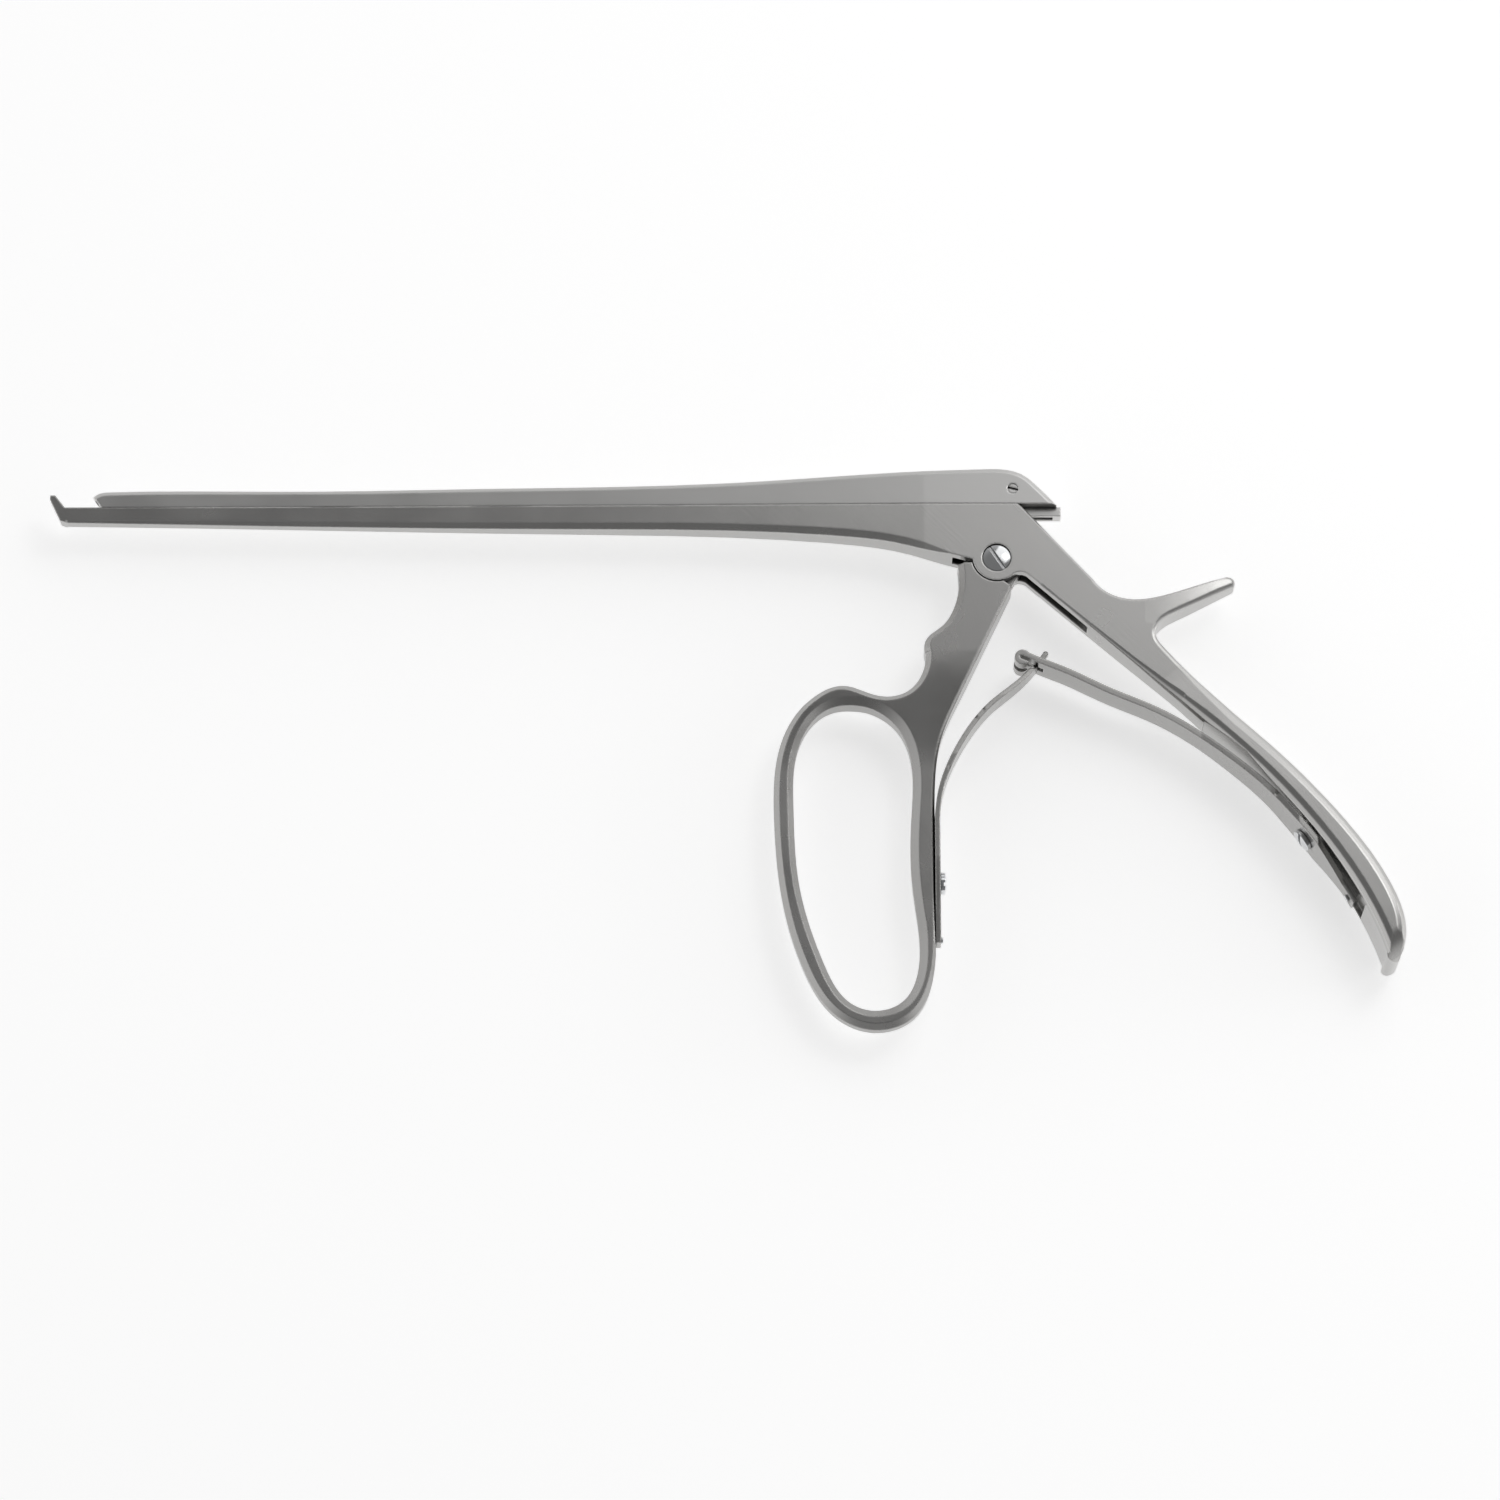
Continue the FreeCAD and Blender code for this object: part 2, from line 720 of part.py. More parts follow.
def make_pivot_screw():
    """Screw with a plain bearing and a thinner threaded end in the far ear."""
    seat = hinge_thickness - pivot_head_height
    head = domed_head(at(0, 0, seat), Z, pivot_head_radius, pivot_head_height - 0.3, 0.55)
    bearing = Part.makeCylinder(pivot_radius, seat - pivot_bearing_end, at(0, 0, pivot_bearing_end), Z)
    thread = Part.makeCylinder(pivot_thread_radius, pivot_bearing_end - 0.2, at(0, 0, 0.2), Z)
    body = head.fuse(bearing).fuse(thread).removeSplitter()
    return body.cut(driver_cut(at(0, 0, hinge_thickness + 0.25), Z, -57.0, driver_slot, 0.9))


def loop_line():
    """Inside of the finger loop."""
    return [at(-33.3, -34.4), at(-40.4, -36.9), at(-44.7, -44.1), at(-45.8, -57.6), at(-44.8, -74.4),
            at(-39.2, -93.9), at(-33.1, -103.1), at(-28.6, -104.65), at(-21.8, -102.5), at(-18.4, -95.3),
            at(-19.4, -77.7), at(-19.65, -60.5), at(-19.8, -46.2), at(-23.0, -39.1), at(-29.0, -35.0)]


def trigger_lines():
    """Runs of the front handle's outline: its flat back, the loop and the front down to the saddle."""
    upper = [at(3.3, -6.9), at(-2.05, -18.25), at(-7.4, -29.6)]
    back = [upper[-1], at(-9.8, -34.6), at(-12.9, -42.3), at(-14.2, -50.3), at(trigger_back, -58.0)]
    seat = [back[-1], at(trigger_back, -74.0), at(trigger_back, -90.0)]
    loop = [seat[-1], at(-15.1, -97.0), at(-19.65, -106.4), at(-28.1, -109.2), at(-35.9, -106.4),
            at(-44.0, -94.45), at(-49.0, -75.3), at(-50.15, -60.0), at(-49.0, -44.5), at(-43.2, -34.1),
            at(-33.8, -29.9), at(-29.2, -31.4), at(-24.8, -32.3), at(-20.0, -30.9), at(-16.9, -26.8),
            at(-16.2, -22.5)]
    front = [loop[-1], at(-15.4, -18.2), at(-12.3, -15.7), at(-9.9, -12.0), at(-8.75, -8.0),
             at(-8.74, -1.3)]
    return upper, back, seat, loop, front


def trigger_outline():
    """Side outline of the front handle below the ears."""
    reach = boss_radius + cheek_gap
    upper, back, seat, loop, front = trigger_lines()
    cheek_rear = at(1.4, -math.sqrt(reach * reach - 1.4 * 1.4))
    cheek_front = at(-math.sqrt(reach * reach - 1.2 * 1.2), -1.2)
    return edges_of(
        cheek_rear,
        [upper[0]],
        [upper[-1]],
        back[1:],
        [seat[-1]],
        loop[1:],
        front[1:],
        [cheek_front],
        [at(-reach * 0.6, -reach * 0.8), cheek_rear],
    )


def trigger_half(point):
    """Half thickness of the front handle: it thins smoothly from the hinge to the finger loop."""
    share = min(max((thick_from - point.y) / (thick_from - thin_from), 0.0), 1.0)
    return mid + (loop_thickness / 2 - mid) * share * share * (3 - 2 * share)


def rear_corner(point):
    return flat_bevel(rear_chamfer, rear_chamfer)


def loop_corner(point):
    """Bevel outside the finger loop: it starts as narrow as the chamfer at the back."""
    if point.x < -25.0:
        return flat_bevel(bevel_width, bevel_depth)
    low = ((-107.0, bevel_width), (-90.0, rear_chamfer))
    width = between(low, point.y) if point.y < -60.0 else bevel_width
    return flat_bevel(width, width * bevel_depth / bevel_width)


def inner_corner(point):
    """Bevel inside the finger loop: it is wider on the side next to the spring."""
    width = between(((-40.0, bevel_width), (-22.0, inner_bevel_width)), point.x)
    return flat_bevel(width, bevel_depth)


def front_bevel(point):
    return flat_bevel(bevel_width, bevel_depth)


def trigger_thickness():
    """Space that the front handle fills."""
    levels = [at(0, thick_from + (thin_from - thick_from) * i / 8) for i in range(9)]
    sides = []
    for side in (1, -1):
        points = [at(-80, level.y, mid + side * trigger_half(level)) for level in levels]
        sides.append([curve(points, at(0, -1, 0), at(0, -1, 0)).toShape(), points[0], points[-1]])
    top = [at(-80, 20, mid + z * mid) for z in (1, -1)]
    bottom = [at(-80, -140, mid + z * loop_thickness / 2) for z in (1, -1)]
    edges = [side[0] for side in sides]
    edges += edges_of(sides[0][1], [top[0]], [top[1]], [sides[1][1]])
    edges += edges_of(sides[0][2], [bottom[0]], [bottom[1]], [sides[1][2]])
    return Part.Face(Part.Wire(Part.__sortEdges__(edges))).extrude(FreeCAD.Vector(100, 0, 0))


def make_fork():
    """Fork on top of the tongue that holds the drive pin."""
    length = drive_arm + fork_reach
    arm = Part.makeBox(2 * fork_half_width, length - 4.0, fork_thickness)
    arm.translate(FreeCAD.Vector(-fork_half_width, 4.0, mid - fork_thickness / 2))
    half = drive_pin_radius + fork_clearance / 2
    gap = Part.makeBox(2 * half, 8.0, 20.0, FreeCAD.Vector(-half, drive_height - 0.2, -5.0))
    gap = gap.fuse(Part.makeCylinder(half, 20.0, FreeCAD.Vector(0, drive_height - 0.2, -5.0), Z))
    arm = arm.cut(gap)
    arm.rotate(FreeCAD.Vector(0, 0, 0), Z, -math.degrees(math.atan2(drive_lead, drive_height)))
    return arm


def make_trigger():
    """Front handle with the finger loop, the tongue between the ears and the fork for the slider."""
    ring = Part.BSplineCurve()
    ring.interpolate(Points=loop_line(), PeriodicFlag=True)
    body = slab(trigger_outline(), hinge_thickness).cut(slab([ring.toShape()], 40.0))
    body = body.common(trigger_thickness())
    corners = (rear_corner, rear_corner, rear_corner, loop_corner, front_bevel)
    for line, corner in zip(trigger_lines(), corners):
        body = cut_all(body, edge_cutters(line, trigger_half, corner))
    body = cut_all(body, edge_cutters(loop_line(), trigger_half, inner_corner, True))
    tongue_width = slot_width - 2 * tongue_clearance
    start = at(-5.9, 1.0)
    edges = edges_of(start, [at(-8.6, -1.4)], [at(-8.5, -9.0)], [at(1.5, -9.0)], [at(4.3, -4.3)], [start])
    tongue = slab(edges, tongue_width)
    tongue = tongue.fuse(disc(0, 0, hub_radius, tongue_width))
    body = body.fuse(tongue).fuse(make_fork()).removeSplitter()
    body = body.cut(disc(0, 0, pivot_radius + pivot_clearance, 40.0))
    for station, radius, depth in front_fasteners:
        body = body.cut(peg(at(trigger_back, station), X, depth + 0.2, radius + pivot_clearance, 1.0))
    return body


def make_front_spring():
    """Leaf spring on the back of the front handle; its narrow end passes through the rear spring."""
    face = trigger_back + leaf_seat
    line = [at(face, -61.5), at(face + 0.1, -59.3), at(-13.8, -55.0), at(-10.1, -45.0), at(-6.9, -39.6),
            at(-2.0, -33.7), at(4.4, -28.3), at(8.0, -24.4), at(10.4, -21.2)]
    leaf = strip(line, front_leaf_thickness, 10.0, 14)
    leaf = leaf.fuse(block(face, face + front_leaf_thickness, front_leaf_end, -61.5, 10.0)).removeSplitter()
    stem = stem_width / 2
    stations = ((front_leaf_end, 2.2), (-80.0, 2.6), (-70.0, 3.3), (-46.0, 3.5), (-32.0, 3.0), (-25.6, 2.3),
                (-24.6, stem), (-15.0, stem))
    near = [at(-60, y, mid + half) for y, half in stations]
    far = [at(-60, y, mid - half) for y, half in reversed(stations)]
    face = Part.Face(Part.makePolygon(near + far + [near[0]]))
    leaf = leaf.common(face.extrude(FreeCAD.Vector(100, 0, 0)))
    leaf = leaf.fuse(Part.makeSphere(stem_ball_radius, at(10.8, -21.5)))
    for station, radius, depth in front_fasteners:
        leaf = leaf.cut(peg(at(trigger_back, station), X, 3.0, radius + 0.05, 5.0))
    return leaf


def make_rear_spring():
    """Leaf spring under the rear handle with a slotted, rolled end."""
    line = [at(5.45, -21.8), at(8.4, -23.2), at(15.2, -26.0), at(24.8, -30.7), at(34.1, -34.7), at(45.0, -41.1),
            at(52.3, -46.7)]
    for step in range(6):
        point, out = handle_point(rear_leaf_seat + (rear_leaf_end - rear_leaf_seat) * step / 5)
        line.append(point + out * leaf_seat)
    leaf = strip(line, rear_leaf_thickness, 14.0, 16)
    leaf = leaf.fuse(disc(5.45, -23.55, 1.75, 14.0)).removeSplitter()
    opening = block(0.0, 3.2, -eye_gap / 2, eye_gap / 2, 14.0).rotated(FreeCAD.Vector(0, 0, 0), Z, -25.0)
    leaf = leaf.cut(opening.translated(FreeCAD.Vector(5.2, -23.45, 0)))
    leaf = leaf.cut(disc(5.2, -23.45, eye_gap / 2, 14.0))
    stations = ((0.0, 4.15), (45.0, 4.0), (60.0, 4.9), (66.0, 5.65), (70.0, 5.5), (75.5, 2.3), (82.0, 2.2))
    near = [at(x, -110, mid + half) for x, half in stations]
    far = [at(x, -110, mid - half) for x, half in reversed(stations)]
    face = Part.Face(Part.makePolygon(near + far + [near[0]]))
    leaf = leaf.common(face.extrude(FreeCAD.Vector(0, 110, 0)))
    leaf = leaf.cut(block(0.0, eye_slot_end, -40.0, 0.0, eye_slot_width))
    for station, radius, depth in rear_fasteners:
        point, out = handle_point(station)
        leaf = leaf.cut(peg(point, out, 3.0, radius + 0.05, 5.0))
    return leaf


def make_spring_screw(point, out, leaf_thickness, angle):
    """Screw with a low domed head that clamps a leaf spring on its handle."""
    base = point + out * (leaf_thickness + 2 * leaf_seat)
    depth = spring_screw_depth + leaf_thickness + 2 * leaf_seat
    head = domed_head(base, out, spring_screw_radius, spring_screw_height - 0.4, 0.4)
    body = head.fuse(peg(base, out, depth, spring_screw_shank))
    return body.cut(driver_cut(base + out * spring_screw_height, out, angle, driver_slot, 0.7))


def make_spring_pin(point, out, leaf_thickness):
    """Round pin beside the screw that keeps a leaf spring from turning."""
    return peg(point, out, spring_pin_depth, spring_pin_radius, leaf_thickness + spring_pin_proud)


def save(name, shape):
    solids = shape.Solids
    result = solids[0] if len(solids) == 1 else Part.makeCompound(solids)
    result.exportStep("parts/" + name + ".step")
    print(name, len(solids), round(shape.Volume, 1), shape.isValid())


os.makedirs("parts", exist_ok=True)
rear_screw_point, rear_screw_out = handle_point(rear_screw_station)
rear_pin_point, rear_pin_out = handle_point(rear_pin_station)
save("frame", make_frame())
save("slider", make_slider())
save("trigger", make_trigger())
save("pivot_screw", make_pivot_screw())
save("drive_pin", make_drive_pin())
save("front_spring", make_front_spring())
save("rear_spring", make_rear_spring())
front_screw_point, front_pin_point = (at(trigger_back, station) for station, radius, depth in front_fasteners)
save("front_spring_screw", make_spring_screw(front_screw_point, X, front_leaf_thickness, 20.0))
save("rear_spring_screw", make_spring_screw(rear_screw_point, rear_screw_out, rear_leaf_thickness, 60.0))
save("front_spring_pin", make_spring_pin(front_pin_point, X, front_leaf_thickness))
save("rear_spring_pin", make_spring_pin(rear_pin_point, rear_pin_out, rear_leaf_thickness))
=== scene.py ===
"""Looks of the bone rongeur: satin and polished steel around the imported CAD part, on a white table.

The frame is loaded first, so the sizes that the looks need come from it. Lengths are in metres.
"""

import math

import bmesh
import bpy
import numpy as np
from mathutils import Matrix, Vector


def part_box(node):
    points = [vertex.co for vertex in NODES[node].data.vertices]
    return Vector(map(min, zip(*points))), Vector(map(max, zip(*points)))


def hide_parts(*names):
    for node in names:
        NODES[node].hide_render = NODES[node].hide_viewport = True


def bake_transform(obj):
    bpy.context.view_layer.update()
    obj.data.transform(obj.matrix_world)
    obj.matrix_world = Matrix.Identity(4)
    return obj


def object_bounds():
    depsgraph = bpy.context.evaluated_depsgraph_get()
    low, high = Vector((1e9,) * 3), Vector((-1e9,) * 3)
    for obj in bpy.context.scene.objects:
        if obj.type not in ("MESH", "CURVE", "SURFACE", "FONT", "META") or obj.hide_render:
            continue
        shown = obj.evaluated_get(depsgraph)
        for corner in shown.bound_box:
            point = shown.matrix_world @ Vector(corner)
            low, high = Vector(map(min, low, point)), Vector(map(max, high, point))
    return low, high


bl_info = {
    "name": "Bone rongeur",
    "version": (1, 0, 0),
    "blender": (4, 5, 0),
    "location": "3D View > Sidebar > Rongeur",
    "description": "Finishes of a sliding-shaft bone rongeur and the table it is shown on",
    "category": "Object",
}

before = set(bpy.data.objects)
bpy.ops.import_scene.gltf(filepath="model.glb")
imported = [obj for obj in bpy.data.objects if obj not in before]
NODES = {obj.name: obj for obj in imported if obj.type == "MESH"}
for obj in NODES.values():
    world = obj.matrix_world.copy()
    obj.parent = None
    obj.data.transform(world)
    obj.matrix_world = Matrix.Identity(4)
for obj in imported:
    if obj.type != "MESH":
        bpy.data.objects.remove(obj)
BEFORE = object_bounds()

# Which finish each piece of the frame takes
FINISHES = {
    "frame": "Satin steel",
    "slider": "Slide steel",
    "drive_pin": "Slide steel",
    "trigger": "Grip steel",
    "front_spring": "Spring steel",
    "rear_spring": "Spring steel",
    "pivot_screw": "Polished steel",
    "front_spring_screw": "Polished steel",
    "rear_spring_screw": "Polished steel",
    "front_spring_pin": "Polished steel",
    "rear_spring_pin": "Polished steel",
}
# Each finish's settings in the look, scale and turn of its brushing lines, and share of the edge softness
STEELS = {
    "Satin steel": ("satin", 2200.0, 0.8, 1.0),
    "Slide steel": ("slide", 2200.0, 0.1, 1.0),
    "Grip steel": ("grip", 2200.0, 1.2, 1.0),
    "Spring steel": ("spring", 1500.0, 0.6, 1.0),
    "Polished steel": ("polish", 3000.0, 0.3, 0.4),
}
# Height of the hinge's middle plane above its lower side face
MIDDLE = 0.0043
# Each leaf spring's fixed body and moving body, and the points between which it bends
BENDS = {
    "front_spring": ("trigger", "front_leaf", (-0.0145, -0.0620, MIDDLE), (-0.0035, -0.0355, MIDDLE)),
    "rear_spring": ("frame", "rear_leaf", (0.0470, -0.0430, MIDDLE), (0.0250, -0.0300, MIDDLE)),
}
# Lamps: name, place seen from the hinge, width and height, and the stage's setting for the power
LAMPS = (
    ("Softbox", (0.46, 0.70, 1.12), (1.0, 0.98), "lamp_power"),
    ("Strip", (1.2, 0.25, 0.22), (0.6, 0.3), "strip_power"),
    ("Panel", (0.56, 0.50, 1.09), (0.32, 0.32), "panel_power"),
)
# Half the side of the square table
TABLE_HALF = 3.0
# Painted shade: near-black colour put on the steel deep in slots and seams, where shade falls
PAINTED_SHADE_COLOUR = (0.03, 0.028, 0.027, 1)
# What the operators make and share: the leaf copies and the node groups, by name
LEAVES = {}
GROUPS = {}


def hinge_middle():
    """Middle of the hinge block: on the pivot axis, half way through the pivot screw."""
    low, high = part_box("pivot_screw")
    return (low + high) / 2


class RongeurSteel(bpy.types.PropertyGroup):
    """Finishes of the steel"""

    satin_colour: bpy.props.FloatVectorProperty(
        name="Satin colour", description="Colour of the satin steel", subtype="COLOR", size=3,
        default=(0.5, 0.495, 0.485), min=0, max=1)
    satin_roughness: bpy.props.FloatProperty(
        name="Satin roughness", description="How far the satin steel spreads a reflection",
        default=0.24, min=0, max=1, subtype="FACTOR")
    # Painted light: the sliding shaft's colour is set brighter than the frame's steel, partly to stand in for
    # the lamp light it catches; its higher roughness is its own brushing
    slide_colour: bpy.props.FloatVectorProperty(
        name="Slide colour", description="Colour of the sliding shaft, which is brushed brighter",
        subtype="COLOR", size=3, default=(0.62, 0.615, 0.605), min=0, max=1)
    slide_roughness: bpy.props.FloatProperty(
        name="Slide roughness", description="How far the sliding shaft spreads a reflection",
        default=0.34, min=0, max=1, subtype="FACTOR")
    grip_colour: bpy.props.FloatVectorProperty(
        name="Grip colour", description="Colour of the front handle's steel, which is a little darker",
        subtype="COLOR", size=3, default=(0.4, 0.395, 0.387), min=0, max=1)
    grip_roughness: bpy.props.FloatProperty(
        name="Grip roughness", description="How far the front handle spreads a reflection",
        default=0.27, min=0, max=1, subtype="FACTOR")
    spring_colour: bpy.props.FloatVectorProperty(
        name="Spring colour", description="Colour of the leaf springs", subtype="COLOR", size=3,
        default=(0.42, 0.415, 0.405), min=0, max=1)
    spring_roughness: bpy.props.FloatProperty(
        name="Spring roughness", description="How far the leaf springs spread a reflection",
        default=0.26, min=0, max=1, subtype="FACTOR")
    polish_colour: bpy.props.FloatVectorProperty(
        name="Polished colour", description="Colour of the screws and pins", subtype="COLOR", size=3,
        default=(0.72, 0.73, 0.74), min=0, max=1)
    polish_roughness: bpy.props.FloatProperty(
        name="Polished roughness", description="How far the screws and pins spread a reflection",
        default=0.13, min=0, max=1, subtype="FACTOR")
    edge_radius: bpy.props.FloatProperty(
        name="Edge softness", description="Radius by which polishing has broken the edges",
        default=0.0005, min=0, max=0.002, unit="LENGTH")
    # Painted shade: how far from a slot or seam the steel is darkened
    crevice_width: bpy.props.FloatProperty(
        name="Painted shade width", description="How far from a slot or seam the steel looks darker",
        default=0.0007, min=0, max=0.01, unit="LENGTH")
    grain_depth: bpy.props.FloatProperty(
        name="Grain depth", description="Height of the fine brushing lines",
        default=0.000004, min=0, max=0.0001, unit="LENGTH")


class RongeurStage(bpy.types.PropertyGroup):
    """Camera, lamps, walls and table"""

    distance: bpy.props.FloatProperty(
        name="Camera distance", description="From the lens to the middle of the picture",
        default=1.3, min=0.2, max=5, unit="LENGTH")
    field: bpy.props.FloatProperty(
        name="Field", description="Width of the picture at that distance",
        default=0.3345, min=0.05, max=2, unit="LENGTH")
    tilt: bpy.props.FloatProperty(
        name="Tilt", description="Angle between the view and the side face's normal",
        default=math.radians(18), min=0, max=math.radians(80), subtype="ANGLE")
    aim_left: bpy.props.FloatProperty(
        name="Aim left", description="From the pivot axis to the middle of the picture, towards the tip",
        default=0.05546, min=-0.3, max=0.3, unit="LENGTH")
    aim_down: bpy.props.FloatProperty(
        name="Aim down", description="From the pivot axis to the middle of the picture, towards the handles",
        default=0.04411, min=-0.3, max=0.3, unit="LENGTH")
    lamp_power: bpy.props.FloatProperty(
        name="Softbox power", description="Power of the large softbox behind the object",
        default=2.8, min=0, max=200)
    strip_power: bpy.props.FloatProperty(
        name="Strip power", description="Power of the strip lamp on the right, which draws the bright edges",
        default=1.4, min=0, max=200)
    panel_power: bpy.props.FloatProperty(
        name="Panel power", description="Power of the small panel on the right, which lights the thumb spur",
        default=0.7, min=0, max=200)
    horizon: bpy.props.FloatProperty(
        name="Horizon", description="Brightness of the white walls round the table",
        default=1.0, min=0, max=4)
    ceiling: bpy.props.FloatProperty(
        name="Ceiling", description="Brightness straight above, as a share of the walls",
        default=0.2, min=0, max=2)
    viewer_side: bpy.props.FloatProperty(
        name="Viewer's side", description="Brightness behind the camera, as a share of the walls",
        default=0.25, min=0, max=2)
    table_glow: bpy.props.FloatProperty(
        name="Table glow", description="What the table adds to its lit colour to look white",
        default=0.55, min=0, max=2)
    floor_gap: bpy.props.FloatProperty(
        name="Floor gap", description="From the lowest point of the object to the table",
        default=0.0002, min=0, max=0.05, unit="LENGTH")


def node(tree, kind, place, **values):
    """A shader node of the given kind, with its settings first and then its unlinked inputs set by name."""
    made = tree.nodes.new(kind)
    made.location = place
    settings = [name for name in values if name in made.bl_rna.properties]
    for name in settings:
        setattr(made, name, values[name])
    for name in values:
        if name not in settings:
            made.inputs[name].default_value = values[name]
    return made


def grain_and_light_group():
    """Fine grain of ground and polished steel, and the masks for painted shade and painted highlight.

    Height is noise stretched along X and turned, as a belt leaves it. Cloud is even noise for small drifts of
    tone. Painted Shade falls to 0 in slots and seams, from ambient occlusion, and marks where painted shade
    darkens the steel. Edge rises to 1 where an edge is broken, and marks where the steel is smoother and gets
    a painted highlight. Normal is the surface's direction with its edges softened.
    """
    group = bpy.data.node_groups.new("Steel wear", "ShaderNodeTree")
    face = group.interface
    for name, value in (("Lines", 900.0), ("Stretch", 0.02), ("Turn", 0.0), ("Cloud", 60.0),
                        ("Edge Radius", 0.0003), ("Crevice Width", 0.001)):
        face.new_socket(name, in_out="INPUT", socket_type="NodeSocketFloat").default_value = value
    for name in ("Height", "Cloud", "Crevice", "Edge"):
        face.new_socket(name, in_out="OUTPUT", socket_type="NodeSocketFloat")
    face.new_socket("Normal", in_out="OUTPUT", socket_type="NodeSocketVector")
    start = node(group, "NodeGroupInput", (-900, 0))
    end = node(group, "NodeGroupOutput", (500, 0))
    place = node(group, "ShaderNodeTexCoord", (-900, 300))
    turn = node(group, "ShaderNodeVectorRotate", (-700, 300), rotation_type="Z_AXIS")
    squeeze = node(group, "ShaderNodeCombineXYZ", (-700, 0), Y=1.0, Z=1.0)
    thin = node(group, "ShaderNodeVectorMath", (-500, 200), operation="MULTIPLY")
    lines = node(group, "ShaderNodeTexNoise", (-300, 200), Detail=3.0, Roughness=0.6)
    cloud = node(group, "ShaderNodeTexNoise", (-300, -100), Detail=4.0, Roughness=0.55)
    shade = node(group, "ShaderNodeAmbientOcclusion", (-300, -350), samples=6)
    # Painted shade: ambient occlusion made into a mask that falls to 0 in slots and seams
    painted_shade_mask = node(group, "ShaderNodeMapRange", (-50, -350), **{
        "From Min": 0.25, "From Max": 0.85, "To Min": 0.0, "To Max": 1.0})
    soft = node(group, "ShaderNodeBevel", (-300, -600), samples=4)
    true = node(group, "ShaderNodeNewGeometry", (-300, -800))
    same = node(group, "ShaderNodeVectorMath", (-50, -650), operation="DOT_PRODUCT")
    edge = node(group, "ShaderNodeMapRange", (150, -650), **{
        "From Min": 0.999, "From Max": 0.93, "To Min": 0.0, "To Max": 1.0})
    link = group.links.new
    link(place.outputs["Object"], turn.inputs["Vector"])
    link(start.outputs["Turn"], turn.inputs["Angle"])
    link(start.outputs["Stretch"], squeeze.inputs["X"])
    link(turn.outputs["Vector"], thin.inputs[0])
    link(squeeze.outputs["Vector"], thin.inputs[1])
    link(thin.outputs["Vector"], lines.inputs["Vector"])
    link(start.outputs["Lines"], lines.inputs["Scale"])
    link(place.outputs["Object"], cloud.inputs["Vector"])
    link(start.outputs["Cloud"], cloud.inputs["Scale"])
    link(start.outputs["Crevice Width"], shade.inputs["Distance"])
    link(shade.outputs["AO"], painted_shade_mask.inputs["Value"])
    link(start.outputs["Edge Radius"], soft.inputs["Radius"])
    link(soft.outputs["Normal"], same.inputs[0])
    link(true.outputs["Normal"], same.inputs[1])
    link(same.outputs["Value"], edge.inputs["Value"])
    link(lines.outputs["Fac"], end.inputs["Height"])
    link(cloud.outputs["Fac"], end.inputs["Cloud"])
    link(painted_shade_mask.outputs["Result"], end.inputs["Crevice"])
    link(edge.outputs["Result"], end.inputs["Edge"])
    link(soft.outputs["Normal"], end.inputs["Normal"])
    return group


def shade_of(colour, share):
    """The colour made darker or brighter, with full alpha."""
    return (*[min(1, part * share) for part in colour], 1)


def steel(look, name, finish, lines, turn, edge_share):
    """Steel with brushing lines, small drifts of tone, painted shade in crevices, and smoother edges that
    also carry a painted highlight.

    The finish names the look's colour and roughness, and the edge share is the part of its edge softness that
    this steel takes.
    """
    colour = getattr(look, finish + "_colour")
    roughness = getattr(look, finish + "_roughness")
    material = bpy.data.materials.new(name)
    material.use_nodes = True
    tree = material.node_tree
    tree.nodes.clear()
    output = node(tree, "ShaderNodeOutputMaterial", (900, 0))
    shader = node(tree, "ShaderNodeBsdfPrincipled", (600, 0), Metallic=1.0)
    wear = node(tree, "ShaderNodeGroup", (-600, 0), node_tree=GROUPS["wear"], **{
        "Lines": lines, "Turn": turn, "Edge Radius": look.edge_radius * edge_share,
        "Crevice Width": look.crevice_width})
    drift = node(tree, "ShaderNodeMapRange", (-300, 200), **{
        "From Min": 0.3, "From Max": 0.7, "To Min": roughness - 0.04, "To Max": roughness + 0.04})
    smooth = node(tree, "ShaderNodeMix", (0, 200), data_type="FLOAT", B=roughness * 0.5)
    tint = node(tree, "ShaderNodeMix", (-300, 450), data_type="RGBA", A=shade_of(colour, 0.94),
                B=shade_of(colour, 1.05))
    # Painted highlight: broken edges take a colour 1.3 times brighter; their lower roughness is the real
    # polish
    bright = node(tree, "ShaderNodeMix", (0, 450), data_type="RGBA", B=shade_of(colour, 1.3))
    # Painted shade: slots and seams are turned near black
    painted_shade = node(tree, "ShaderNodeMix", (300, 450), data_type="RGBA", A=PAINTED_SHADE_COLOUR)
    bump = node(tree, "ShaderNodeBump", (300, -250), Distance=look.grain_depth)
    link = tree.links.new
    link(wear.outputs["Cloud"], drift.inputs["Value"])
    link(drift.outputs["Result"], smooth.inputs["A"])
    link(wear.outputs["Edge"], smooth.inputs["Factor"])
    link(wear.outputs["Cloud"], tint.inputs["Factor"])
    link(tint.outputs["Result"], bright.inputs["A"])
    link(wear.outputs["Edge"], bright.inputs["Factor"])
    link(bright.outputs["Result"], painted_shade.inputs["B"])
    link(wear.outputs["Crevice"], painted_shade.inputs["Factor"])
    link(wear.outputs["Height"], bump.inputs["Height"])
    link(wear.outputs["Normal"], bump.inputs["Normal"])
    link(painted_shade.outputs["Result"], shader.inputs["Base Color"])
    link(smooth.outputs["Result"], shader.inputs["Roughness"])
    link(bump.outputs["Normal"], shader.inputs["Normal"])
    link(shader.outputs["BSDF"], output.inputs["Surface"])
    return material


